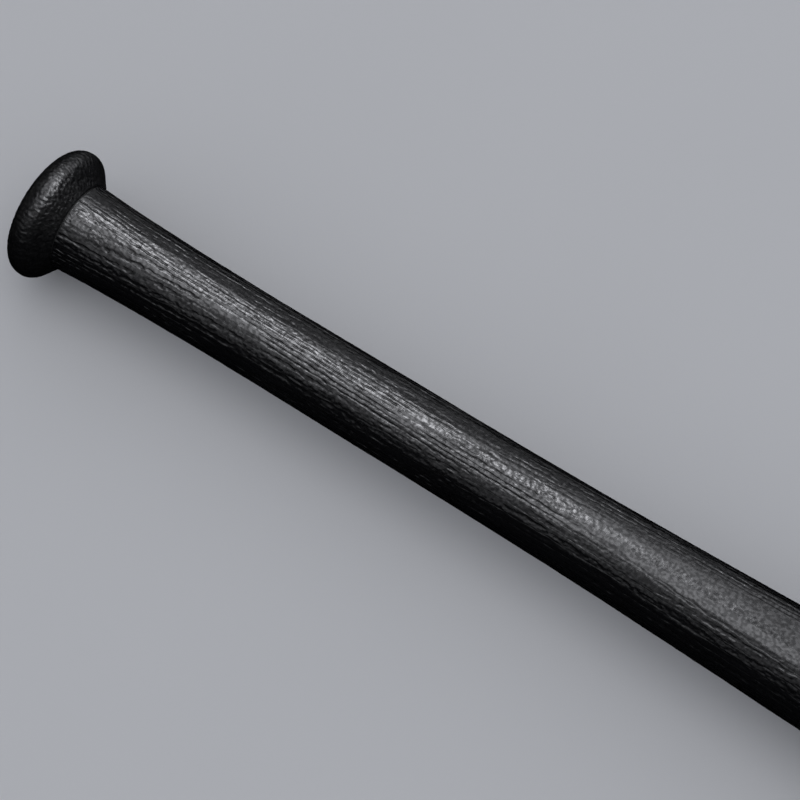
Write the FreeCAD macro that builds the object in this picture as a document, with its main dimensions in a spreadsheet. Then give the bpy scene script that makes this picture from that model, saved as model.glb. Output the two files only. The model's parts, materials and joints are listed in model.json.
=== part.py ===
import FreeCAD, Part
import os
import Sketcher, PartDesign  # noqa: F401  (loads the two workbenches' document objects)
from FreeCAD import Vector, Rotation, Placement

# A weighted swing-training bat: a grained polymer body with a separate round
# knob, built round a steel core tube that carries a stack of steel weights.
# The bat's axis is X. X = 0 is the knob's end face and X = overall_length the
# barrel's end face. Every turned piece is a half-section in the XZ plane,
# revolved about X. All sizes are millimetres.

doc = FreeCAD.newDocument("swing_training_bat")

# ---------------------------------------------------------------- dimensions
DIMS = [
    # whole bat
    ("overall_length", 864.0),
    # knob
    ("knob_length", 18.8),
    ("knob_neck_radius", 17.5),
    ("knob_back_x", 15.1),
    ("knob_back_radius", 22.0),
    ("knob_face_radius", 10.2),
    ("knob_counterbore_radius", 9.0),
    ("knob_counterbore_depth", 8.8),
    ("knob_bolt_hole_radius", 4.3),
    ("knob_socket_x", 14.2),
    ("knob_socket_radius", 8.1),
    # seal between knob and body
    ("gasket_thickness", 0.5),
    ("gasket_inner_radius", 8.4),
    ("gasket_outer_radius", 16.8),
    # grained body: bore, weight chamber and end opening
    ("bore_radius", 8.15),
    ("bore_end_x", 330.0),
    ("chamber_mid_x", 600.0),
    ("chamber_mid_radius", 25.5),
    ("chamber_full_x", 720.0),
    ("chamber_radius", 28.0),
    ("chamber_end_x", 838.0),
    ("tip_face_radius", 22.8),
    ("tip_opening_radius", 20.05),
    ("snap_groove_x", 849.5),
    ("snap_groove_width", 4.0),
    ("snap_groove_radius", 20.75),
    ("snap_ramp", 0.5),
    # dowels that keep the knob from turning
    ("dowel_radius", 2.0),
    ("dowel_hole_radius", 2.06),
    ("dowel_circle_radius", 12.4),
    ("dowel_x", 12.2),
    ("dowel_length", 16.6),
    ("dowel_knob_hole_x", 12.0),
    ("dowel_body_hole_end_x", 29.0),
    # core tube and its two threaded inserts
    ("tube_x", 14.5),
    ("tube_end_x", 631.0),
    ("tube_outer_radius", 8.0),
    ("tube_inner_radius", 6.5),
    ("insert_radius", 6.44),
    ("insert_bore_radius", 4.02),
    ("insert_groove_radius", 6.0),
    ("insert_groove_offset", 12.0),
    ("insert_groove_width", 6.0),
    ("insert_length", 30.0),
    ("knob_insert_x", 16.0),
    ("tip_insert_x", 601.0),
    # M8 button-head screws and their washers
    ("screw_radius", 3.95),
    ("screw_chamfer", 0.6),
    ("screw_head_radius", 7.0),
    ("screw_head_rim", 1.4),
    ("screw_head_height", 4.4),
    ("screw_head_top_radius", 4.2),
    ("screw_socket_flats", 5.0),
    ("screw_socket_depth", 2.6),
    ("knob_screw_seat_x", 7.2),
    ("knob_screw_length", 35.0),
    ("clamp_screw_seat_x", 635.0),
    ("clamp_screw_length", 30.0),
    ("washer_hole_radius", 4.2),
    ("knob_washer_radius", 8.4),
    ("knob_washer_thickness", 1.6),
    ("clamp_washer_radius", 15.0),
    ("clamp_washer_thickness", 3.0),
    # cover over the knob screw
    ("cover_radius", 8.9),
    ("cover_thickness", 2.2),
    ("cover_edge", 0.3),
    ("cover_skirt_depth", 6.8),
    ("cover_skirt_inner_radius", 7.7),
    # weights on the tube
    ("stop_ring_x", 582.0),
    ("stop_ring_width", 6.0),
    ("stop_ring_radius", 12.0),
    ("ring_bore_radius", 8.1),
    ("damper_thickness", 2.0),
    ("damper_radius", 18.5),
    ("weight_width", 12.0),
    ("weight_radius", 19.0),
    ("weight_edge", 0.8),
    # foam round the tube and weights
    ("foam_x", 360.0),
    ("foam_x_radius", 9.8),
    ("foam_gap", 0.25),
    # plug in the barrel's end
    ("plug_x", 840.0),
    ("plug_radius", 20.0),
    ("plug_edge", 0.4),
    ("plug_bead_x", 849.8),
    ("plug_bead_width", 3.4),
    ("plug_bead_radius", 20.6),
    ("plug_cup_radius", 15.5),
    ("plug_face_thickness", 3.5),
    ("ring_groove_x", 844.7),
    ("ring_groove_width", 2.8),
    ("ring_groove_radius", 17.7),
    ("ring_centre_radius", 18.87),
    ("ring_section_radius", 1.1),
]

# Control points (x, radius) of the two smooth outlines, cubic B-splines. The
# first and last of each are on the outline itself.
BODY_OUTLINE = [
    (19.3, 17.3), (19.95, 16.98), (22.04, 16.86), (25.404, 16.7),
    (33.542, 16.18), (52.084, 15.642), (85.32, 14.842), (133.34, 15.211),
    (186.92, 15.191), (240.54, 15.783), (302.55, 17.696), (384.37, 20.387),
    (485.8, 25.566), (592.86, 30.31), (691.79, 32.653), (768.87, 33.129),
    (820.56, 32.89), (847.08, 31.187), (862.55, 27.188), (864.0, 22.8),
]
BODY_KNOTS = [0.0, 0.0018, 0.0045, 0.012, 0.03, 0.07, 0.13, 0.2, 0.26, 0.32, 0.42,
              0.55, 0.68, 0.8, 0.9, 0.955, 0.98, 1.0]
KNOB_OUTLINE = [
    (0.0, 10.2), (0.374, 12.387), (1.625, 16.433), (3.008, 21.746),
    (5.42, 24.629), (7.687, 25.689), (10.605, 25.888), (13.015, 24.709),
    (14.607, 22.676), (15.1, 22.0),
]
KNOB_KNOTS = [0.0, 0.2461, 0.4865, 0.5876, 0.6703, 0.7607, 0.8862, 1.0]

sheet = doc.addObject("Spreadsheet::Sheet", "Dimensions")
sheet.Label = "Dimensions"
sheet.set("A1", "dimension")
sheet.set("B1", "mm")
VALUE = {}
ROW = [2]


def put(alias, value):
    cell = "B%d" % ROW[0]
    sheet.set("A%d" % ROW[0], alias.replace("_", " "))
    sheet.set(cell, repr(float(value)))
    sheet.setAlias(cell, alias)
    VALUE[alias] = float(value)
    ROW[0] += 1


for alias, value in DIMS:
    put(alias, value)
for word, outline in (("body", BODY_OUTLINE), ("knob", KNOB_OUTLINE)):
    for i, (x, r) in enumerate(outline):
        put("%s_outline_x_%02d" % (word, i), x)
        put("%s_outline_radius_%02d" % (word, i), r)
doc.recompute()


def number(expression):
    """The value of a sum such as "tube_x + insert_length - 0.5"."""
    total, sign = 0.0, 1.0
    for word in str(expression).split():
        if word in "+-":
            sign = 1.0 if word == "+" else -1.0
        elif word in VALUE:
            total += sign * VALUE[word]
        else:
            total += sign * float(word)
    return total


def bound(expression):
    """The same sum as an expression of the sheet."""
    return " ".join(
        "Dimensions." + word if word in VALUE else word
        for word in str(expression).split()
    )


def origin_plane(body, role):
    return [f for f in body.Origin.OriginFeatures if f.Role == role][0]


# ------------------------------------------------------------------ sketching
def pin(sketch, geo, pos, along, across):
    """Fixes a point of the sketch at (along, across), each a sum of the sheet."""
    for kind, axis, expression in (
        ("DistanceX", -2, along),
        ("DistanceY", -1, across),
    ):
        value = number(expression)
        if abs(value) < 1e-9:
            sketch.addConstraint(Sketcher.Constraint("PointOnObject", geo, pos, axis))
            continue
        at = sketch.addConstraint(
            Sketcher.Constraint(kind, -1, 1, geo, pos, value)
        )
        sketch.setExpression("Constraints[%d]" % at, bound(expression))


def section(body, name, corners, outline=None):
    """A closed half-section in the XZ plane. outline, (word, knots, from, to),
    replaces the straight side that starts at corner `from` with a B-spline
    whose control points are the sheet's."""
    sketch = body.newObject("Sketcher::SketchObject", name)
    sketch.AttachmentSupport = (origin_plane(body, "XZ_Plane"), [""])
    sketch.MapMode = "FlatFace"
    n = len(corners)
    spots = [Vector(number(x), number(r), 0) for x, r in corners]
    sides = []
    for i in range(n):
        if outline and outline[2] == i:
            word, knots = outline[0], outline[1]
            count = outline[3]
            poles = [
                Vector(
                    VALUE["%s_outline_x_%02d" % (word, k)],
                    VALUE["%s_outline_radius_%02d" % (word, k)],
                    0,
                )
                for k in range(count)
            ]
            curve = Part.BSplineCurve()
            mults = [4] + [1] * (len(knots) - 2) + [4]
            curve.buildFromPolesMultsKnots(poles, mults, knots, False, 3)
            side = sketch.addGeometry(curve, False)
            sides.append(side)
        else:
            sides.append(
                sketch.addGeometry(
                    Part.LineSegment(spots[i], spots[(i + 1) % n]), False
                )
            )
    for i in range(n):
        sketch.addConstraint(
            Sketcher.Constraint(
                "Coincident", sides[i], 2, sides[(i + 1) % n], 1
            )
        )
    if outline:
        word, knots, start, count = outline
        first = sketch.GeometryCount
        sketch.exposeInternalGeometry(sides[start])
        # the exposed circles are the control points, in order
        for k in range(count):
            pin(
                sketch,
                first + k,
                3,
                "%s_outline_x_%02d" % (word, k),
                "%s_outline_radius_%02d" % (word, k),
            )
    for i in range(n):
        if outline and i in (outline[2], (outline[2] + 1) % n):
            continue  # the outline's own first and last control points fix it
        pin(sketch, sides[i], 1, corners[i][0], corners[i][1])
    return sketch


def turned(name, corners, outline=None):
    """A body of revolution about X."""
    body = doc.addObject("PartDesign::Body", name)
    body.Label = name
    sketch = section(body, name + "_section", corners, outline)
    turn = body.newObject("PartDesign::Revolution", name + "_turn")
    turn.Profile = sketch
    turn.ReferenceAxis = (sketch, ["H_Axis"])
    turn.Angle = 360.0
    doc.recompute()
    return body


def face_sketch(body, name, x):
    """An empty sketch square to the axis, at x. Its own axes are Y and Z."""
    sketch = body.newObject("Sketcher::SketchObject", name)
    sketch.AttachmentSupport = (origin_plane(body, "YZ_Plane"), [""])
    sketch.MapMode = "FlatFace"
    sketch.AttachmentOffset = Placement(Vector(0, 0, number(x)), Rotation())
    sketch.setExpression("AttachmentOffset.Base.z", bound(x))
    return sketch


def meshed_volume(shape):
    """Volume of the shape's triangles, which compares better than the exact
    one on a long splined surface."""
    points, triangles = shape.tessellate(0.05)
    return sum(
        points[a].dot(points[b].cross(points[c])) for a, b, c in triangles
    ) / 6


def pocket(body, name, sketch, depth, towards_plus_x):
    """Cuts the sketch's shape from the body, and checks that it did."""
    doc.recompute()
    before = meshed_volume(body.Shape)
    cut = body.newObject("PartDesign::Pocket", name)
    cut.Profile = sketch
    cut.Type = "Length"
    cut.Length = number(depth)
    cut.setExpression("Length", bound(depth))
    cut.Reversed = bool(towards_plus_x)
    doc.recompute()
    if not meshed_volume(body.Shape) < before - 5:
        raise RuntimeError(name + " cuts nothing")
    return cut


def hexagon(sketch, flats):
    """A hexagon across `flats`, corners on the sketch's first axis."""
    f = number(flats)
    long, short, half = f * 0.57735, f * 0.288675, f * 0.5
    spots = [(long, 0), (short, half), (-short, half),
             (-long, 0), (-short, -half), (short, -half)]
    for i in range(6):
        (x0, y0), (x1, y1) = spots[i], spots[(i + 1) % 6]
        sketch.addGeometry(
            Part.LineSegment(Vector(x0, y0, 0), Vector(x1, y1, 0)), False
        )
    for i in range(6):
        sketch.addConstraint(Sketcher.Constraint("Coincident", i, 2, (i + 1) % 6, 1))
    factor = {abs(long): "0.57735", abs(short): "0.288675", abs(half): "0.5"}
    for i, spot in enumerate(spots):
        for kind, axis, value in (
            ("DistanceX", -2, spot[0]),
            ("DistanceY", -1, spot[1]),
        ):
            if value == 0:
                sketch.addConstraint(
                    Sketcher.Constraint("PointOnObject", i, 1, axis)
                )
                continue
            if value > 0:
                c = Sketcher.Constraint(kind, -1, 1, i, 1, value)
            else:
                c = Sketcher.Constraint(kind, i, 1, -1, 1, -value)
            at = sketch.addConstraint(c)
            sketch.setExpression(
                "Constraints[%d]" % at,
                "%s * %s" % (bound(flats), factor[abs(value)]),
            )


def dowel_holes(body, name, x, depth, towards_plus_x):
    """Two round holes, above and below the axis."""
    sketch = face_sketch(body, name + "_sketch", x)
    away, r = number("dowel_circle_radius"), number("dowel_hole_radius")
    for i, side in enumerate((1, -1)):
        sketch.addGeometry(
            Part.Circle(Vector(0, side * away, 0), Vector(0, 0, 1), r), False
        )
        sketch.addConstraint(Sketcher.Constraint("PointOnObject", i, 3, -2))
        ends = (-1, 1, i, 3) if side > 0 else (i, 3, -1, 1)
        at = sketch.addConstraint(Sketcher.Constraint("DistanceY", *ends, away))
        sketch.setExpression("Constraints[%d]" % at, bound("dowel_circle_radius"))
        at = sketch.addConstraint(Sketcher.Constraint("Radius", i, r))
        sketch.setExpression("Constraints[%d]" % at, bound("dowel_hole_radius"))
    pocket(body, name, sketch, depth, towards_plus_x)


def ring(name, x, width, inner, outer):
    """A plain ring about X, from Part primitives: one cylinder cut by another."""
    made = []
    for word, radius, lead in (("outer", outer, "0"), ("inner", inner, "1")):
        c = doc.addObject("Part::Cylinder", "%s_%s" % (name, word))
        c.Radius = number(radius)
        c.setExpression("Radius", bound(radius))
        c.Height = number(width) + 2 * number(lead)
        c.setExpression("Height", bound("%s + %s + %s" % (width, lead, lead)))
        c.Placement = Placement(
            Vector(number(x) - number(lead), 0, 0), Rotation(Vector(0, 1, 0), 90)
        )
        c.setExpression("Placement.Base.x", bound("%s - %s" % (x, lead)))
        made.append(c)
    cut = doc.addObject("Part::Cut", name)
    cut.Base, cut.Tool = made
    cut.Label = name
    return cut


# ------------------------------------------------------------------- the knob
knob = turned(
    "knob",
    [
        ("0", "knob_face_radius"),
        ("knob_back_x", "knob_back_radius"),
        ("knob_length", "knob_neck_radius"),
        ("knob_length", "knob_socket_radius"),
        ("knob_socket_x", "knob_socket_radius"),
        ("knob_socket_x", "knob_bolt_hole_radius"),
        ("knob_counterbore_depth", "knob_bolt_hole_radius"),
        ("knob_counterbore_depth", "knob_counterbore_radius"),
        ("0", "knob_counterbore_radius"),
    ],
    ("knob", KNOB_KNOTS, 0, len(KNOB_OUTLINE)),
)
dowel_holes(
    knob, "knob_dowel_holes", "knob_length", "knob_length - dowel_knob_hole_x", False
)

cover = turned(
    "knob_screw_cover",
    [
        ("0", "0"),
        ("0", "cover_radius - cover_edge"),
        ("cover_edge", "cover_radius"),
        ("cover_skirt_depth", "cover_radius"),
        ("cover_skirt_depth", "cover_skirt_inner_radius"),
        ("cover_thickness", "cover_skirt_inner_radius"),
        ("cover_thickness", "0"),
    ],
)


def screw(name, seat, length, away):
    """A button-head screw. away is -1 when its head points to -X."""
    plus, minus = ("+", "-") if away > 0 else ("-", "+")
    top = "%s %s screw_head_height" % (seat, plus)
    rim = "%s %s screw_head_rim" % (seat, plus)
    end = "%s %s %s" % (seat, minus, length)
    body = turned(
        name,
        [
            (top, "0"),
            (top, "screw_head_top_radius"),
            (rim, "screw_head_radius"),
            (seat, "screw_head_radius"),
            (seat, "screw_radius"),
            ("%s %s screw_chamfer" % (end, plus), "screw_radius"),
            (end, "screw_radius - screw_chamfer"),
            (end, "0"),
        ],
    )
    sketch = face_sketch(body, name + "_socket_sketch", top)
    hexagon(sketch, "screw_socket_flats")
    pocket(body, name + "_socket", sketch, "screw_socket_depth", away < 0)
    return body


knob_screw = screw("knob_screw", "knob_screw_seat_x", "knob_screw_length", -1)
knob_washer = ring(
    "knob_washer",
    "knob_screw_seat_x",
    "knob_washer_thickness",
    "washer_hole_radius",
    "knob_washer_radius",
)

# ----------------------------------------------------- seal and turning dowels
gasket = turned(
    "knob_gasket",
    [
        ("knob_length", "gasket_inner_radius"),
        ("knob_length", "gasket_outer_radius"),
        ("knob_length + gasket_thickness", "gasket_outer_radius"),
        ("knob_length + gasket_thickness", "gasket_inner_radius"),
    ],
)
dowel_holes(
    gasket, "gasket_dowel_holes", "knob_length + gasket_thickness",
    "gasket_thickness", False,
)

pins = []
for i, side in enumerate(("+", "-")):
    c = doc.addObject("Part::Cylinder", "dowel_%d" % i)
    c.Radius = number("dowel_radius")
    c.setExpression("Radius", bound("dowel_radius"))
    c.Height = number("dowel_length")
    c.setExpression("Height", bound("dowel_length"))
    away = number("0 %s dowel_circle_radius" % side)
    c.Placement = Placement(
        Vector(number("dowel_x"), 0, away), Rotation(Vector(0, 1, 0), 90)
    )
    c.setExpression("Placement.Base.x", bound("dowel_x"))
    c.setExpression("Placement.Base.z", bound("0 %s dowel_circle_radius" % side))
    pins.append(c)
dowels = doc.addObject("Part::Compound", "knob_dowels")
dowels.Links = pins
dowels.Label = "knob_dowels"

# ----------------------------------------------------------- the grained body
groove_end = "snap_groove_x + snap_groove_width"
shell = turned(
    "grained_body",
    [
        ("body_outline_x_00", "body_outline_radius_00"),
        ("overall_length", "tip_face_radius"),
        ("overall_length", "tip_opening_radius"),
        (groove_end, "tip_opening_radius"),
        (groove_end + " - snap_ramp", "snap_groove_radius"),
        ("snap_groove_x + snap_ramp", "snap_groove_radius"),
        ("snap_groove_x", "tip_opening_radius"),
        ("chamber_end_x", "tip_opening_radius"),
        ("chamber_end_x", "chamber_radius"),
        ("chamber_full_x", "chamber_radius"),
        ("chamber_mid_x", "chamber_mid_radius"),
        ("bore_end_x", "bore_radius"),
        ("knob_length + gasket_thickness", "bore_radius"),
    ],
    ("body", BODY_KNOTS, 0, len(BODY_OUTLINE)),
)
dowel_holes(
    shell, "body_dowel_holes", "knob_length + gasket_thickness",
    "dowel_body_hole_end_x - knob_length - gasket_thickness", True,
)

# --------------------------------------------------- core tube and its inserts
core = ring(
    "core_tube", "tube_x", "tube_end_x - tube_x", "tube_inner_radius",
    "tube_outer_radius",
)


def insert(name, x):
    groove = x + " + insert_groove_offset"
    return turned(
        name,
        [
            (x, "insert_bore_radius"),
            (x, "insert_radius"),
            (groove, "insert_radius"),
            (groove, "insert_groove_radius"),
            (groove + " + insert_groove_width", "insert_groove_radius"),
            (groove + " + insert_groove_width", "insert_radius"),
            (x + " + insert_length", "insert_radius"),
            (x + " + insert_length", "insert_bore_radius"),
        ],
    )


knob_insert = insert("knob_end_insert", "knob_insert_x")
tip_insert = insert("weight_end_insert", "tip_insert_x")

# ------------------------------------------------------------ stack of weights
stop = ring(
    "weight_stop_ring", "stop_ring_x", "stop_ring_width", "ring_bore_radius",
    "stop_ring_radius",
)
stack = "stop_ring_x + stop_ring_width"
weights, dampers = [], []
for i, word in enumerate(("rear", "middle", "front")):
    dampers.append(
        ring(
            "damper_%d" % i, stack, "damper_thickness", "ring_bore_radius",
            "damper_radius",
        )
    )
    stack += " + damper_thickness"
    end = stack + " + weight_width"
    weights.append(
        turned(
            "weight_" + word,
            [
                (stack, "ring_bore_radius"),
                (stack, "weight_radius - weight_edge"),
                (stack + " + weight_edge", "weight_radius"),
                (end + " - weight_edge", "weight_radius"),
                (end, "weight_radius - weight_edge"),
                (end, "ring_bore_radius"),
            ],
        )
    )
    stack = end
dampers.append(
    ring("damper_3", stack, "damper_thickness", "ring_bore_radius", "damper_radius")
)
stack += " + damper_thickness"
damper_set = doc.addObject("Part::Compound", "weight_dampers")
damper_set.Links = dampers
damper_set.Label = "weight_dampers"

clamp_washer = ring(
    "clamp_washer", stack, "clamp_washer_thickness", "washer_hole_radius",
    "clamp_washer_radius",
)
clamp_screw = screw("clamp_screw", "clamp_screw_seat_x", "clamp_screw_length", 1)
if abs(number(stack + " + clamp_washer_thickness") - number("clamp_screw_seat_x")) > 1e-6:
    raise RuntimeError("the clamp screw doesn't sit on its washer")

# ------------------------------------------------------------------------ foam
foam = turned(
    "foam_fill",
    [
        ("foam_x", "tube_outer_radius + foam_gap"),
        ("foam_x", "foam_x_radius"),
        ("chamber_mid_x", "chamber_mid_radius - foam_gap"),
        ("chamber_full_x", "chamber_radius - foam_gap"),
        ("chamber_end_x - foam_gap", "chamber_radius - foam_gap"),
        ("chamber_end_x - foam_gap", "0"),
        ("clamp_screw_seat_x + screw_head_height + foam_gap", "0"),
        ("clamp_screw_seat_x + screw_head_height + foam_gap", "screw_head_radius + foam_gap"),
        ("clamp_screw_seat_x + foam_gap", "screw_head_radius + foam_gap"),
        ("clamp_screw_seat_x + foam_gap", "weight_radius + foam_gap"),
        ("stop_ring_x + stop_ring_width - foam_gap", "weight_radius + foam_gap"),
        ("stop_ring_x + stop_ring_width - foam_gap", "stop_ring_radius + foam_gap"),
        ("stop_ring_x - foam_gap", "stop_ring_radius + foam_gap"),
        ("stop_ring_x - foam_gap", "tube_outer_radius + foam_gap"),
    ],
)

# ------------------------------------------------------- plug in the barrel end
bead_end = "plug_bead_x + plug_bead_width"
groove_ring_end = "ring_groove_x + ring_groove_width"
plug = turned(
    "barrel_end_plug",
    [
        ("overall_length", "0"),
        ("overall_length", "plug_radius - plug_edge"),
        ("overall_length - plug_edge", "plug_radius"),
        (bead_end, "plug_radius"),
        (bead_end + " - snap_ramp", "plug_bead_radius"),
        ("plug_bead_x + snap_ramp", "plug_bead_radius"),
        ("plug_bead_x", "plug_radius"),
        (groove_ring_end, "plug_radius"),
        (groove_ring_end, "ring_groove_radius"),
        ("ring_groove_x", "ring_groove_radius"),
        ("ring_groove_x", "plug_radius"),
        ("plug_x", "plug_radius"),
        ("plug_x", "plug_cup_radius"),
        ("overall_length - plug_face_thickness", "plug_cup_radius"),
        ("overall_length - plug_face_thickness", "0"),
    ],
)

seal = doc.addObject("Part::Torus", "end_plug_seal")
seal.Label = "end_plug_seal"
seal.Radius1 = number("ring_centre_radius")
seal.setExpression("Radius1", bound("ring_centre_radius"))
seal.Radius2 = number("ring_section_radius")
seal.setExpression("Radius2", bound("ring_section_radius"))
seal.Placement = Placement(
    Vector(number("ring_groove_x") + number("ring_groove_width") / 2, 0, 0),
    Rotation(Vector(0, 1, 0), 90),
)
seal.setExpression(
    "Placement.Base.x", "Dimensions.ring_groove_x + Dimensions.ring_groove_width / 2"
)

# --------------------------------------------------------- check and write out
doc.recompute()
NODES = [
    shell, knob, gasket, dowels, knob_screw, knob_washer, cover,
    core, knob_insert, tip_insert, stop, weights[0], weights[1], weights[2],
    damper_set, clamp_washer, clamp_screw, foam, plug, seal,
]
for o in doc.Objects:
    bad = [word for word in o.State if word in ("Invalid", "Error")]
    if bad:
        raise RuntimeError("%s is %s" % (o.Name, bad))
for o in NODES:
    if o.Shape.isNull() or not o.Shape.isValid() or not o.Shape.Solids:
        raise RuntimeError(o.Label + " has no valid solid")
for o in doc.Objects:
    if o.TypeId == "Sketcher::SketchObject":
        free = o.solve()
        if free != 0:
            raise RuntimeError("%s doesn't solve: %s" % (o.Name, free))

os.makedirs("parts", exist_ok=True)
for o in NODES:
    o.Shape.exportStep("parts/%s.step" % o.Label)
    b = o.Shape.BoundBox
    print(
        "%-20s solids %d  volume %11.1f mm3  x %7.2f..%7.2f  r %6.2f"
        % (o.Label, len(o.Shape.Solids), o.Shape.Volume, b.XMin, b.XMax, b.ZMax)
    )
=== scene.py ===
import json
import math

import bpy
import numpy as np
from mathutils import Matrix, Vector

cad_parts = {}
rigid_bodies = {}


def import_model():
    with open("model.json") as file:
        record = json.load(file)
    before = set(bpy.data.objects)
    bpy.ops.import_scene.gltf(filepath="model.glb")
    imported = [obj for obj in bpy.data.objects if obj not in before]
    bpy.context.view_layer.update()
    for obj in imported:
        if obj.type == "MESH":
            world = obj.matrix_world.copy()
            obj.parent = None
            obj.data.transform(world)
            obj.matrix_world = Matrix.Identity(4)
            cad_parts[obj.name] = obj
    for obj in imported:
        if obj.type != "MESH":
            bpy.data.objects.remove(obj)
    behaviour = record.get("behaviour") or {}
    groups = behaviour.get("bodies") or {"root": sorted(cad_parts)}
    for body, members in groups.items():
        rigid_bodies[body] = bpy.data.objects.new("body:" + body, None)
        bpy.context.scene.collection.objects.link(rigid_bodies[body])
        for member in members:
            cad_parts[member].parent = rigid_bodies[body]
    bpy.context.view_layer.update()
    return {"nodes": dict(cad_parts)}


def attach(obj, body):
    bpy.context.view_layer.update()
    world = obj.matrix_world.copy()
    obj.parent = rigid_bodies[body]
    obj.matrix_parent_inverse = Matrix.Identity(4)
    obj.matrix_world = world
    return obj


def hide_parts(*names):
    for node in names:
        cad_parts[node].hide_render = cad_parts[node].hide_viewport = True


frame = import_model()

MM = 0.001
scene = bpy.context.scene
scene.view_settings.view_transform = "Standard"
scene.view_settings.look = "None"

# --------------------------------------------------------------- the outlines
# Control points (x, radius) in millimetres of the two smooth outlines, the same
# cubic B-splines that the design holds.
BODY_OUTLINE = [
    (19.3, 17.3), (19.95, 16.98), (22.04, 16.86), (25.404, 16.7),
    (33.542, 16.18), (52.084, 15.642), (85.32, 14.842), (133.34, 15.211),
    (186.92, 15.191), (240.54, 15.783), (302.55, 17.696), (384.37, 20.387),
    (485.8, 25.566), (592.86, 30.31), (691.79, 32.653), (768.87, 33.129),
    (820.56, 32.89), (847.08, 31.187), (862.55, 27.188), (864.0, 22.8),
]
BODY_KNOTS = [0.0, 0.0018, 0.0045, 0.012, 0.03, 0.07, 0.13, 0.2, 0.26, 0.32, 0.42,
              0.55, 0.68, 0.8, 0.9, 0.955, 0.98, 1.0]
KNOB_OUTLINE = [
    (0.0, 10.2), (0.374, 12.387), (1.625, 16.433), (3.008, 21.746),
    (5.42, 24.629), (7.687, 25.689), (10.605, 25.888), (13.015, 24.709),
    (14.607, 22.676), (15.1, 22.0),
]
KNOB_KNOTS = [0.0, 0.2461, 0.4865, 0.5876, 0.6703, 0.7607, 0.8862, 1.0]


def spline(poles, knots, n):
    """n points of a clamped cubic B-spline."""
    poles = np.array(poles, float)
    t = np.array([knots[0]] * 3 + list(knots) + [knots[-1]] * 3)
    u = np.linspace(knots[0], knots[-1], n)
    u[-1] -= 1e-12
    basis = [
        np.where((u >= t[i]) & (u < t[i + 1]), 1.0, 0.0) for i in range(len(t) - 1)
    ]
    for k in range(1, 4):
        grown = []
        for i in range(len(t) - 1 - k):
            a, b = t[i + k] - t[i], t[i + k + 1] - t[i + 1]
            left = (u - t[i]) / a * basis[i] if a > 0 else 0.0
            right = (t[i + k + 1] - u) / b * basis[i + 1] if b > 0 else 0.0
            grown.append(left + right)
        basis = grown
    return np.stack(basis, axis=1) @ poles


def spaced(line, step):
    """The same line with its points `step` apart, a number or a function of x."""
    along = np.r_[0, np.cumsum(np.hypot(*np.diff(line, axis=0).T))]
    at, out = 0.0, [0.0]
    while True:
        x = np.interp(at, along, line[:, 0])
        at += step(x) if callable(step) else step
        if at >= along[-1] - 1e-9:
            break
        out.append(at)
    out.append(along[-1])
    out = np.array(out)
    if len(out) > 2 and out[-1] - out[-2] < 0.4 * (out[-2] - out[-3]):
        out = np.delete(out, -2)
    return np.stack([np.interp(out, along, line[:, k]) for k in (0, 1)], axis=1)


def rounded(corners, sizes, arc=4):
    """A polyline with each inner corner rounded, and rows kept close beside it."""
    out = [corners[0]]
    for i in range(1, len(corners) - 1):
        p, a, b = (np.array(corners[j], float) for j in (i, i - 1, i + 1))
        da, db = np.linalg.norm(a - p), np.linalg.norm(b - p)
        cut = min(sizes[i], 0.45 * da, 0.45 * db)
        if cut <= 0:
            out.append(tuple(p))
            continue
        s, e = p + (a - p) / da * cut, p + (b - p) / db * cut
        for k in range(arc + 1):
            f = k / arc
            out.append(tuple((1 - f) ** 2 * s + 2 * f * (1 - f) * p + f * f * e))
    out.append(corners[-1])
    return np.array(out, float)


# ------------------------------------------------------------------ mesh work
def lathe(name, loop, amount, columns):
    """A closed piece of revolution about X from a closed loop of (x, r) in
    millimetres. amount is how much of the grain's relief each row takes."""
    loop, amount = np.array(loop, float), np.array(amount, float)
    rows = len(loop)
    angle = np.arange(columns) / columns * 2 * math.pi
    x = np.repeat(loop[:, 0], columns)
    r = np.repeat(loop[:, 1], columns)
    a = np.tile(angle, rows)
    points = np.stack([x, r * np.cos(a), r * np.sin(a)], axis=1) * MM
    i, j = np.meshgrid(np.arange(rows), np.arange(columns), indexing="ij")
    i2, j2 = (i + 1) % rows, (j + 1) % columns
    quads = np.stack(
        [i * columns + j, i2 * columns + j, i2 * columns + j2, i * columns + j2],
        axis=-1,
    ).reshape(-1, 4)
    mesh = bpy.data.meshes.new(name)
    mesh.vertices.add(len(points))
    mesh.vertices.foreach_set("co", points.ravel())
    mesh.loops.add(len(quads) * 4)
    mesh.loops.foreach_set("vertex_index", quads.ravel().astype(np.int32))
    mesh.polygons.add(len(quads))
    mesh.polygons.foreach_set("loop_start", np.arange(len(quads), dtype=np.int32) * 4)
    mesh.update(calc_edges=True)
    mesh.validate()
    mesh.polygons.foreach_set("use_smooth", np.ones(len(quads), bool))
    store = mesh.attributes.new("relief", "FLOAT", "POINT")
    store.data.foreach_set("value", np.repeat(amount, columns).astype(np.float32))
    # outward normals
    v = points[quads]
    volume = (v[:, 0] * np.cross(v[:, 1], v[:, 2])).sum() + (
        v[:, 0] * np.cross(v[:, 2], v[:, 3])
    ).sum()
    if volume < 0:
        mesh.flip_normals()
    piece = bpy.data.objects.new(name, mesh)
    scene.collection.objects.link(piece)
    return piece


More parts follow.
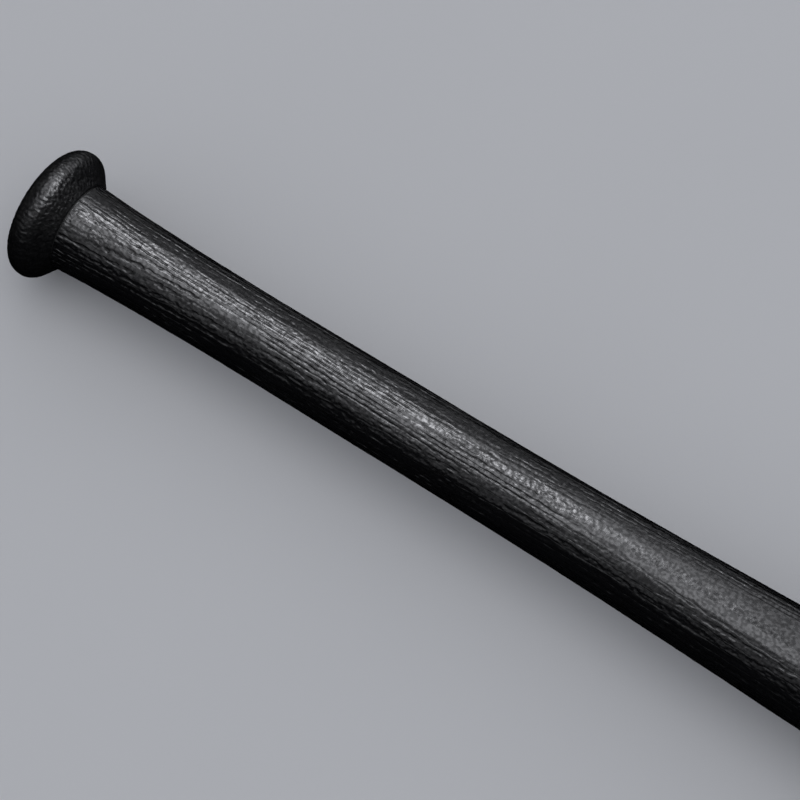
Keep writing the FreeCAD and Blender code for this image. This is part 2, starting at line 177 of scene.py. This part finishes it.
# ----------------------------------------------------------- node-tree helper
class Tree:
    """Short names for the nodes that the relief and the materials share."""

    def __init__(self, tree):
        self.tree = tree

    def node(self, kind, **props):
        n = self.tree.nodes.new(kind)
        for k, v in props.items():
            setattr(n, k, v)
        return n

    def put(self, socket, value):
        if isinstance(value, bpy.types.NodeSocket):
            self.tree.links.new(value, socket)
        elif value is not None:
            socket.default_value = value

    def math(self, op, a, b=None, c=None, clamp=False):
        n = self.node("ShaderNodeMath", operation=op, use_clamp=clamp)
        for k, v in enumerate((a, b, c)):
            self.put(n.inputs[k], v)
        return n.outputs[0]

    def vec(self, op, a, b=None, scale=None):
        n = self.node("ShaderNodeVectorMath", operation=op)
        self.put(n.inputs[0], a)
        if b is not None:
            self.put(n.inputs[1], b)
        if scale is not None:
            self.put(n.inputs["Scale"], scale)
        return n.outputs["Value"] if op in ("LENGTH", "DOT_PRODUCT") else n.outputs[0]

    def noise(self, at, stretch, shift=(0, 0, 0), detail=0.0, rough=0.5):
        n = self.node("ShaderNodeTexNoise", noise_dimensions="3D")
        place = self.node("ShaderNodeVectorMath", operation="MULTIPLY_ADD")
        self.put(place.inputs[0], at)
        self.put(place.inputs[1], stretch)
        self.put(place.inputs[2], shift)
        self.put(n.inputs["Vector"], place.outputs[0])
        n.inputs["Scale"].default_value = 1.0
        n.inputs["Detail"].default_value = detail
        n.inputs["Roughness"].default_value = rough
        return n

    def fac(self, *a, **k):
        n = self.noise(*a, **k)
        return n.outputs["Fac"]

    def swirl(self, at, stretch, reach, shift=(0, 0, 0), detail=0.0):
        """A vector that wanders by about `reach` millimetres each way."""
        n = self.noise(at, stretch, shift, detail)
        half = self.vec("SUBTRACT", n.outputs["Color"], (0.5, 0.5, 0.5))
        return self.vec("MULTIPLY", half, reach)

    def step(self, value, low, high, a=0.0, b=1.0):
        n = self.node("ShaderNodeMapRange", interpolation_type="SMOOTHSTEP")
        self.put(n.inputs["Value"], value)
        n.inputs["From Min"].default_value = low
        n.inputs["From Max"].default_value = high
        n.inputs["To Min"].default_value = a
        n.inputs["To Max"].default_value = b
        return n.outputs["Result"]

    def total(self, *terms):
        out = terms[0]
        for more in terms[1:]:
            out = self.math("ADD", out, more)
        return out

    def times(self, *terms):
        out = terms[0]
        for more in terms[1:]:
            out = self.math("MULTIPLY", out, more)
        return out


# The relief's share that the mesh carries, and the share its bump adds for the
# walls that fall between the mesh's points.
IN_MESH, IN_BUMP = 0.65, 0.4


def groove(t, field, half):
    """1 along the line where a noise crosses its middle, 0 beside it."""
    away = t.math("ABSOLUTE", t.math("SUBTRACT", field, 0.5))
    return t.step(away, 0.0, half, 1.0, 0.0)


def wood(t, place):
    """The moulded grain of the body, as if the bat were turned from an open-
    pored plank. place is in metres. Heights are in millimetres."""
    p = t.vec("SCALE", place, scale=1000.0)
    drift = t.swirl(p, (0.0065, 0.03, 0.03), (0, 2.0, 2.0), (3.1, 7.7, 1.9))
    jag = t.swirl(p, (0.4, 0.5, 0.5), (0.25, 0.1, 0.1), (1.3, 4.1, 8.8), 1.0)
    bent = t.vec("ADD", p, drift)
    q = t.vec("ADD", bent, jag)
    # growth rings: circles round a pith 58 mm from the bat's axis, whose side
    # turns by a few degrees along the handle
    sep = t.node("ShaderNodeSeparateXYZ")
    t.put(sep.inputs[0], p)
    turn = t.step(sep.outputs[0], 110.0, 250.0, -0.20, 0.14)
    pith = t.node("ShaderNodeCombineXYZ")
    t.put(pith.inputs[1], t.times(t.math("SINE", turn), 58.0))
    t.put(pith.inputs[2], t.times(t.math("COSINE", turn), 58.0))
    flat = t.vec("MULTIPLY", bent, (0.0, 1.0, 1.0))
    reach = t.vec("LENGTH", t.vec("ADD", flat, pith.outputs[0]))
    torn = t.times(
        t.math("SUBTRACT", t.fac(q, (0.16, 0.4, 0.4), (2.0, 9.0, 4.0), 1.5), 0.5), 0.45
    )
    phase = t.math(
        "FRACT", t.total(t.times(t.math("SUBTRACT", reach, 73.0), 1 / 2.3), 0.8, torn)
    )
    # each ring opens with a porous band and closes with a smooth one
    porous = t.times(
        t.step(phase, 0.0, 0.08), t.step(phase, 0.45, 0.8, 1.0, 0.0)
    )
    edge = t.times(t.step(phase, 0.0, 0.06), t.step(phase, 0.06, 0.2, 1.0, 0.0))
    # one calm stretch along the top of the taper, finely pebbled only
    girth = t.vec("LENGTH", t.vec("MULTIPLY", p, (0.0, 1.0, 1.0)))
    calm = t.times(
        t.step(t.total(sep.outputs[0], t.times(torn, 40.0)), 208.0, 244.0),
        t.step(sep.outputs[0], 320.0, 380.0, 1.0, 0.0),
        t.step(t.total(t.math("DIVIDE", sep.outputs[2], girth), t.times(torn, 0.15)), 0.84, 0.93),
    )
    # rows of pores down the bat, 2 to 3 mm apart, that wander, close up, stop
    # and start; on the barrel a second set comes in between them
    wander = t.times(
        t.math("SUBTRACT", t.fac(p, (0.006, 0.09, 0.09), (2.2, 6.1, 3.7)), 0.5), 4.5
    )
    tear = t.times(
        t.math("SUBTRACT", t.fac(p, (0.3, 0.5, 0.5), (5.0, 5.0, 1.0), 1.0), 0.5), 0.6
    )
    turns = t.times(t.math("ARCTAN2", sep.outputs[1], sep.outputs[2]), 38 / math.tau)
    rows = t.total(turns, wander, tear)

    def beside(value):
        return t.math("ABSOLUTE", t.math("SUBTRACT", t.math("FRACT", value), 0.5))

    first, second = beside(rows), beside(t.math("MULTIPLY_ADD", rows, 2.0, 0.5))
    narrow = t.times(
        t.math("MAXIMUM", t.step(first, 0.06, 0.27, 1.0, 0.0),
               t.times(t.step(second, 0.08, 0.45, 1.0, 0.0), t.step(girth, 21.0, 25.0))),
        t.step(t.fac(p, (0.035, 0.16, 0.16), (1.0, 8.0, 2.0)), 0.33, 0.52),
        t.math("MULTIPLY_ADD", porous, -0.4, 1.0),
        t.math("MULTIPLY_ADD", calm, -0.8, 1.0),
    )
    bead = t.step(t.fac(q, (0.45, 0.6, 0.6), (8.0, 3.0, 4.0), 0.6, 0.5), 0.38, 0.62)
    pore = t.times(narrow, t.math("MULTIPLY_ADD", bead, 0.65, 0.35))
    # soft streaks between the rows
    streak = t.math(
        "SUBTRACT", t.fac(q, (0.06, 0.56, 0.56), (6.6, 1.8, 7.3), 0.5, 0.5), 0.5
    )
    # and pebbling over everything
    worm = t.math(
        "SUBTRACT", t.fac(q, (0.62, 0.72, 0.72), (7.3, 0.4, 2.9), 0.7, 0.55), 0.5
    )
    grit = t.math(
        "SUBTRACT", t.fac(q, (0.95, 0.9, 0.9), (2.9, 5.4, 1.7), 0.6, 0.5), 0.5
    )
    pebble = t.total(
        t.times(worm, t.math("MULTIPLY_ADD", porous, 0.6, 0.4),
                t.math("SUBTRACT", 1.0, calm)),
        t.times(grit, t.math("MULTIPLY_ADD", calm, -0.16, 0.36)),
    )
    coarse = t.total(t.times(edge, -0.05), t.times(narrow, -0.03), t.times(streak, 0.32, t.math("MULTIPLY_ADD", calm, -0.7, 1.0)))
    fine = t.total(t.times(pore, -0.22), t.times(pebble, 0.30))
    pit = t.math("MAXIMUM", edge, pore)
    return {"coarse": coarse, "fine": fine, "pit": pit}


def knob_grain(t, place):
    """The knob's own grain: shorter, wrinkled like leather, with axial streaks."""
    p = t.vec("SCALE", place, scale=1000.0)
    jag = t.swirl(p, (0.5, 0.5, 0.5), (0.5, 0.4, 0.4), (6.3, 2.1, 3.8), 1.0)
    q = t.vec("ADD", p, jag)
    ripple = t.math(
        "SUBTRACT", t.fac(q, (0.16, 0.75, 0.75), (1.2, 9.1, 5.7), 0.5, 0.5), 0.5
    )
    fold = groove(t, t.fac(q, (0.3, 0.5, 0.5), (3.9, 0.2, 7.7), 1.0, 0.5), 0.08)
    worm = t.math(
        "SUBTRACT", t.fac(q, (0.8, 0.85, 0.85), (2.3, 4.4, 8.9), 0.8, 0.5), 0.5
    )
    coarse = t.total(t.times(ripple, 0.30), t.times(fold, -0.07))
    fine = t.times(worm, 0.34)
    return {"coarse": coarse, "fine": fine, "pit": fold}


def emboss(piece, grain):
    """Moves the piece's points by the grain's relief, with the same noise that
    its material uses, and keeps the result as the mesh."""
    tree = bpy.data.node_groups.new(piece.name + "_relief", "GeometryNodeTree")
    tree.interface.new_socket("Geometry", in_out="INPUT", socket_type="NodeSocketGeometry")
    tree.interface.new_socket("Geometry", in_out="OUTPUT", socket_type="NodeSocketGeometry")
    t = Tree(tree)
    start, end = t.node("NodeGroupInput"), t.node("NodeGroupOutput")
    place = t.node("GeometryNodeInputPosition").outputs[0]
    g = grain(t, place)
    high = t.times(t.total(g["coarse"], g["fine"]), IN_MESH)
    held = t.node("GeometryNodeInputNamedAttribute", data_type="FLOAT")
    held.inputs["Name"].default_value = "relief"
    amount = [o for o in held.outputs if o.enabled and o.type == "VALUE"][0]
    normal = t.node("GeometryNodeInputNormal").outputs[0]
    move = t.vec("SCALE", normal, scale=t.times(high, amount, MM))
    put = t.node("GeometryNodeSetPosition")
    t.put(put.inputs["Geometry"], start.outputs[0])
    t.put(put.inputs["Offset"], move)
    t.put(end.inputs[0], put.outputs[0])
    modifier = piece.modifiers.new("relief", "NODES")
    modifier.node_group = tree
    graph = bpy.context.evaluated_depsgraph_get()
    mesh = bpy.data.meshes.new_from_object(piece.evaluated_get(graph), depsgraph=graph)
    piece.modifiers.clear()
    old = piece.data
    piece.data = mesh
    mesh.name = piece.name
    bpy.data.meshes.remove(old)
    bpy.data.node_groups.remove(tree)


# ------------------------------------------------------------------ materials
def material(name, base, rough, metallic=0.0, **sockets):
    m = bpy.data.materials.new(name)
    m.use_nodes = True
    t = Tree(m.node_tree)
    shader = [n for n in m.node_tree.nodes if n.type == "BSDF_PRINCIPLED"][0]
    shader.inputs["Base Color"].default_value = (*base, 1)
    shader.inputs["Roughness"].default_value = rough
    shader.inputs["Metallic"].default_value = metallic
    for k, v in sockets.items():
        shader.inputs[k.replace("_", " ")].default_value = v
    return m, t, shader


def tinted(t, fac, low, high):
    n = t.node("ShaderNodeMix", data_type="RGBA")
    t.put(n.inputs["Factor"], fac)
    n.inputs[6].default_value = (*low, 1)
    n.inputs[7].default_value = (*high, 1)
    return n.outputs[2]


def grained(name, grain, roughness=(0.24, 0.4)):
    """Semi-gloss black polymer with moulded grain: pits are duller and a touch
    greyer, the lands between them are burnished by the mould."""
    m, t, shader = material(name, (0.004, 0.004, 0.005), 0.4)
    place = t.node("ShaderNodeTexCoord").outputs["Object"]
    g = grain(t, place)
    p = t.vec("SCALE", place, scale=1000.0)
    haze = t.fac(p, (0.05, 0.12, 0.12), (1, 2, 3), 3.0, 0.6)
    dust = t.fac(p, (2.2, 3.1, 3.1), (4, 5, 6), 2.0, 0.6)
    rough = t.total(
        t.step(g["pit"], 0.0, 1.0, roughness[0], roughness[1]),
        t.times(t.math("SUBTRACT", haze, 0.5), 0.12),
        t.times(t.math("SUBTRACT", dust, 0.5), 0.06),
    )
    t.put(shader.inputs["Roughness"], rough)
    t.put(
        shader.inputs["Base Color"],
        tinted(t, t.math("ADD", t.times(haze, 0.6), t.times(dust, 0.4)),
               (0.0015, 0.0015, 0.0019), (0.0042, 0.0042, 0.005)),
    )
    # painted shade: the specular level is lowered in a fine speckle and in the pits, standing in
    # for the hollows between the pebbles seeing less light than the tops
    painted_shade = t.fac(p, (0.75, 0.9, 0.9), (5.5, 2.4, 7.1), 0.6, 0.5)
    t.put(
        shader.inputs["Specular IOR Level"],
        t.times(t.step(painted_shade, 0.36, 0.64, 0.36, 0.66),
                t.math("MULTIPLY_ADD", g["pit"], -0.25, 1.0)),
    )
    micro = t.times(t.math("SUBTRACT", dust, 0.5), 0.012)
    high = t.total(t.times(t.total(g["coarse"], g["fine"]), IN_BUMP), micro)
    bump = t.node("ShaderNodeBump")
    bump.inputs["Strength"].default_value = 1.0
    bump.inputs["Distance"].default_value = MM
    t.put(bump.inputs["Height"], high)
    t.put(shader.inputs["Normal"], bump.outputs[0])
    shader.inputs["IOR"].default_value = 1.49
    return m


# --------------------------------------------------------------- grained body
end_x = BODY_OUTLINE[-1][0]


def fade(x, start, stop):
    return np.clip((x - start) / (stop - start), 0, 1)


outer = spaced(
    spline(BODY_OUTLINE, BODY_KNOTS, 6001),
    lambda x: 0.3 if x < 22 else 0.55 if x < 350 else 1.0 if x < 852 else 0.45,
)
body_inside = rounded(
    [(864.0, 22.8), (864.0, 20.05), (853.5, 20.05), (853.0, 20.75), (850.0, 20.75),
     (849.5, 20.05), (838.0, 20.05), (838.0, 28.0), (720.0, 28.0), (600.0, 25.5),
     (330.0, 8.15), (19.3, 8.15), (19.3, 17.3)],
    [0, 0.35, 0.2, 0.1, 0.1, 0.2, 0.4, 1.5, 3, 6, 6, 0.3, 0],
)
outer_amount = fade(outer[:, 0], 19.32, 19.8) * fade(end_x - outer[:, 0], 0.3, 4.0)
body_loop = np.concatenate([outer, body_inside[1:-1]])
body_amount = np.concatenate([outer_amount, np.zeros(len(body_inside) - 2)])
body = lathe("bat_body_skin", body_loop, body_amount, 448)
emboss(body, wood)

# ----------------------------------------------------------------------- knob
rim = spaced(spline(KNOB_OUTLINE, KNOB_KNOTS, 2001), 0.45)
cone = spaced(np.array([(15.1, 22.0), (18.8, 17.5)]), 0.45)
knob_inside = rounded(
    [(18.8, 17.5), (18.8, 8.1), (14.2, 8.1), (14.2, 4.3), (8.8, 4.3), (8.8, 9.0),
     (0.0, 9.0), (0.0, 10.2)],
    [0, 0.3, 0.3, 0.3, 0.3, 0.3, 0.25, 0],
)
knob_loop = np.concatenate([rim, cone[1:], knob_inside[1:-1]])
knob_out = np.concatenate([rim, cone[1:]])
knob_amount = np.concatenate(
    [
        fade(knob_out[:, 1], 10.6, 13.0) * fade(18.8 - knob_out[:, 0], 0.1, 0.8),
        np.zeros(len(knob_inside) - 2),
    ]
)
knob = lathe("knob_skin", knob_loop, knob_amount, 420)
emboss(knob, knob_grain)

body.data.materials.append(grained("grained_black_polymer", wood))
knob.data.materials.append(grained("knob_black_polymer", knob_grain, (0.34, 0.46)))
for piece, node in ((body, "grained_body"), (knob, "knob")):
    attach(piece, "root")
    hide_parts(node)


# --------------------------------------------------- the other design nodes
def moulded(name, base, rough):
    """Spark-eroded matt polymer."""
    m, t, shader = material(name, base, rough)
    p = t.vec("SCALE", t.node("ShaderNodeTexCoord").outputs["Object"], scale=1000.0)
    fine = t.fac(p, (2.4, 2.4, 2.4), (1, 1, 1), 3.0, 0.6)
    flow = t.fac(p, (0.1, 0.1, 0.1), (7, 1, 4), 2.0)
    t.put(shader.inputs["Roughness"], t.total(rough - 0.1, t.times(flow, 0.2)))
    t.put(
        shader.inputs["Base Color"],
        tinted(t, fine, tuple(c * 0.7 for c in base), tuple(c * 1.35 for c in base)),
    )
    bump = t.node("ShaderNodeBump")
    bump.inputs["Strength"].default_value = 0.6
    bump.inputs["Distance"].default_value = MM
    t.put(bump.inputs["Height"], t.times(fine, 0.06))
    t.put(shader.inputs["Normal"], bump.outputs[0])
    return m


def metal(name, base, rough, turned):
    """Steel with its machining marks: rings about X where turned, or draw lines
    along X."""
    m, t, shader = material(name, base, rough, 1.0)
    p = t.vec("SCALE", t.node("ShaderNodeTexCoord").outputs["Object"], scale=1000.0)
    stretch = (5.0, 0.12, 0.12) if turned else (0.05, 3.0, 3.0)
    marks = t.fac(p, stretch, (2, 3, 5), 3.0, 0.65)
    stain = t.fac(p, (0.1, 0.13, 0.13), (8, 2, 2), 3.0, 0.6)
    t.put(
        shader.inputs["Roughness"],
        t.total(rough - 0.12, t.times(marks, 0.14), t.times(stain, 0.12)),
    )
    t.put(
        shader.inputs["Base Color"],
        tinted(t, stain, tuple(c * 0.78 for c in base), tuple(min(1, c * 1.12) for c in base)),
    )
    bump = t.node("ShaderNodeBump")
    bump.inputs["Strength"].default_value = 0.4
    bump.inputs["Distance"].default_value = MM
    t.put(bump.inputs["Height"], t.times(marks, 0.02))
    t.put(shader.inputs["Normal"], bump.outputs[0])
    return m


def foam_look():
    m, t, shader = material("foam_cells", (0.72, 0.66, 0.5), 0.85)
    p = t.vec("SCALE", t.node("ShaderNodeTexCoord").outputs["Object"], scale=1000.0)
    cell = t.node("ShaderNodeTexVoronoi", feature="F1")
    t.put(cell.inputs["Vector"], p)
    cell.inputs["Scale"].default_value = 0.9
    tone = t.fac(p, (0.03, 0.05, 0.05), (3, 3, 1), 3.0)
    t.put(
        shader.inputs["Base Color"],
        tinted(t, tone, (0.6, 0.52, 0.36), (0.8, 0.75, 0.6)),
    )
    bump = t.node("ShaderNodeBump")
    bump.inputs["Strength"].default_value = 0.8
    bump.inputs["Distance"].default_value = MM
    t.put(bump.inputs["Height"], t.times(cell.outputs["Distance"], 0.35))
    t.put(shader.inputs["Normal"], bump.outputs[0])
    return m


cover = moulded("matt_black_polymer", (0.02, 0.02, 0.022), 0.55)
rubber = moulded("black_rubber", (0.008, 0.008, 0.008), 0.7)
looks = {
    "knob_screw_cover": cover,
    "barrel_end_plug": cover,
    "knob_gasket": rubber,
    "weight_dampers": rubber,
    "end_plug_seal": rubber,
    "foam_fill": foam_look(),
    "core_tube": metal("drawn_steel", (0.5, 0.5, 0.51), 0.38, False),
}
turned_steel = metal("turned_steel", (0.46, 0.46, 0.47), 0.34, True)
plated = metal("zinc_plated_steel", (0.62, 0.62, 0.58), 0.28, True)
for node in ("knob_dowels", "weight_stop_ring", "weight_rear", "weight_middle",
             "weight_front"):
    looks[node] = turned_steel
for node in ("knob_screw", "knob_washer", "knob_end_insert", "weight_end_insert",
             "clamp_washer", "clamp_screw"):
    looks[node] = plated
for node, look in looks.items():
    slots = frame["nodes"][node].material_slots
    for s in slots:
        s.material = look

# ----------------------------------------------------- floor, lights, camera
# The bat lies on its knob and its barrel, so the floor leans by half a degree.
knob_low, barrel_low = (9.3, -25.95), (775.0, -33.3)
slope = (barrel_low[1] - knob_low[1]) / (barrel_low[0] - knob_low[0])
mesh = bpy.data.meshes.new("floor")
half = 6.0


def floor_z(x):
    return (knob_low[1] * MM) + slope * (x - knob_low[0] * MM)


mesh.from_pydata(
    [(x, y, floor_z(x)) for x, y in
     ((-half, -half), (half, -half), (half, half), (-half, half))],
    [], [(0, 1, 2, 3)],
)
floor = bpy.data.objects.new("floor", mesh)
scene.collection.objects.link(floor)
m, t, shader = material("pale_floor", (0.62, 0.62, 0.63), 0.8)
shader.inputs["Specular IOR Level"].default_value = 0.2
p = t.vec("SCALE", t.node("ShaderNodeTexCoord").outputs["Object"], scale=1000.0)
t.put(
    shader.inputs["Base Color"],
    tinted(t, t.fac(p, (0.01, 0.01, 0.01), (1, 1, 1), 2.0), (0.71, 0.71, 0.72), (0.73, 0.73, 0.74)),
)
mesh.materials.append(m)
floor.visible_glossy = False  # a flag between floor and bat keeps its shaded side black

world = bpy.data.worlds.new("studio")
scene.world = world
world.use_nodes = True
world.node_tree.nodes["Background"].inputs[0].default_value = (0.9, 0.93, 1.0, 1)
world.node_tree.nodes["Background"].inputs[1].default_value = 0.5
world.cycles_visibility.glossy = False  # it lights the floor; the bat mirrors the boxes


def softbox(name, at, aim, width, length, power, colour=(1, 1, 1), along=(1, 0, 0)):
    """An area light at `at`, facing `aim`, its length along the bat."""
    light = bpy.data.lights.new(name, "AREA")
    light.shape = "RECTANGLE"
    light.size, light.size_y = width, length
    light.energy = power
    light.color = colour
    ob = bpy.data.objects.new(name, light)
    scene.collection.objects.link(ob)
    at, aim = Vector(at), Vector(aim)
    z = (at - aim).normalized()
    y = Vector(along) - z * z.dot(Vector(along))
    y.normalize()
    x = y.cross(z)
    ob.matrix_world = Matrix(
        ((x.x, y.x, z.x, at.x), (x.y, y.y, z.y, at.y), (x.z, y.z, z.z, at.z), (0, 0, 0, 1))
    )
    ob.visible_camera = False
    return ob


def overhead(angle, distance, x=0.1):
    """A place at `angle` from straight up, towards +Y, in degrees."""
    a = math.radians(angle)
    return (x, distance * math.sin(a), distance * math.cos(a))


TINT = (0.975, 0.985, 1.035)


def strip(name, angle, half, radiance, distance=2.2, low=-0.62, high=1.3):
    """A softbox along the bat that covers angle +- half degrees, as bright as
    `radiance` says."""
    width = 2 * distance * math.tan(math.radians(half))
    length = high - low
    mid = (low + high) / 2
    at = overhead(angle, distance, mid)
    box = softbox(name, at, (mid, 0, 0), width, length,
                  radiance * math.pi * width * length, TINT)
    box.visible_diffuse = False  # the floor has lights of its own
    return box


knob_only = bpy.data.collections.new("knob_only")
knob_only.objects.link(knob)
all_but_knob = bpy.data.collections.new("all_but_knob")
for ob in list(scene.objects):
    if ob.type == "MESH" and ob is not knob:
        all_but_knob.objects.link(ob)
for name, angle, half, radiance, low, high in (
    ("key_knob", 22, 8, 4.5, -1.1, -0.7),
    ("key_first", 22, 8, 12, -0.7, -0.6),
    ("key_start", 22, 8, 19, -0.6, -0.34),
    ("key", 22, 8, 14, -0.34, -0.18),
    ("key_late", 22, 8, 6, -0.18, -0.1),
    ("key_middle", 22, 8, 1.2, -0.1, 0.05),
    ("key_soft", 22, 8, 0.5, 0.05, 0.45),
    ("key_end", 22, 8, 2.0, 0.45, 1.1),
    ("key_wing", -5, 14, 3.1, -1.1, -0.34),
    ("key_wing_mid", -5, 14, 3.9, -0.34, 0.0),
    ("key_wing_end", -5, 14, 3.0, 0.0, 1.3),
    ("far_wing", 41, 11, 2.3, -1.1, 0.05),
    ("far_wing_end", 41, 11, 2.0, 0.05, 1.3),
    ("far_tail", 66, 12, 0.45, -1.1, 0.05),
    ("far_tail_end", 66, 12, 1.7, 0.05, 1.3),
    ("far_edge", 92, 13, 0.3, -1.1, 1.3),
    ("near_tail", -32, 12, 0.9, -1.1, -0.1),
    ("near_tail_end", -32, 12, 0.45, -0.1, 1.3),
    ("near_edge", -53, 11, 0.5, -1.1, -0.1),
    ("near_edge_end", -53, 11, 0.35, -0.1, 1.3),
):
    box = strip(name, angle, half, radiance, low=low, high=high)
    if name.startswith("key"):
        box.light_linking.receiver_collection = all_but_knob
# the knob has a share of its own, centred further down the bat
for name, angle, half, radiance, low, high in (
    ("knob_key", 22, 9, 13, 0.4, 2.3),
    ("knob_key_start", 22, 9, 4, -0.9, 0.4),
    ("knob_wing", -5, 14, 4.4, 0.4, 2.3),
    ("knob_wing_start", -5, 14, 1.6, -0.9, 0.4),
):
    box = strip(name, angle, half, radiance, low=low, high=high)
    box.light_linking.receiver_collection = knob_only

# a low fill off each end, which the end faces mirror
for name, x, radiance in (("knob_fill", -1.5, 0.2), ("barrel_fill", 2.4, 0.16)):
    fill = softbox(
        name, (x, 0.0, 0.26), (0.43, 0.0, 0.0), 0.5, 1.6, math.pi * 0.8 * radiance,
        along=(0, 1, 0),
    )
    fill.visible_diffuse = False

# a wide one overhead for a trace of shadow beside the bat
top = softbox("floor_top", (0.25, 0.1, 1.6), (0.25, 0.0, 0.0), 1.2, 1.6, 2.6)
top.visible_glossy = False

camera = bpy.data.cameras.new("camera")
camera.lens = 108.0
camera.sensor_width = 36.0
camera.clip_start = 0.01
eye = bpy.data.objects.new("camera", camera)
scene.collection.objects.link(eye)
right = Vector((0.8382, 0.5454, 0.0)).normalized()
back = Vector((0.1990, -0.3059, 0.9311)).normalized()
up = back.cross(right).normalized()
right = up.cross(back)
at = Vector((0.3233, -0.2529, 0.7919))
eye.matrix_world = Matrix(
    ((right.x, up.x, back.x, at.x), (right.y, up.y, back.y, at.y),
     (right.z, up.z, back.z, at.z), (0, 0, 0, 1))
)
scene.camera = eye
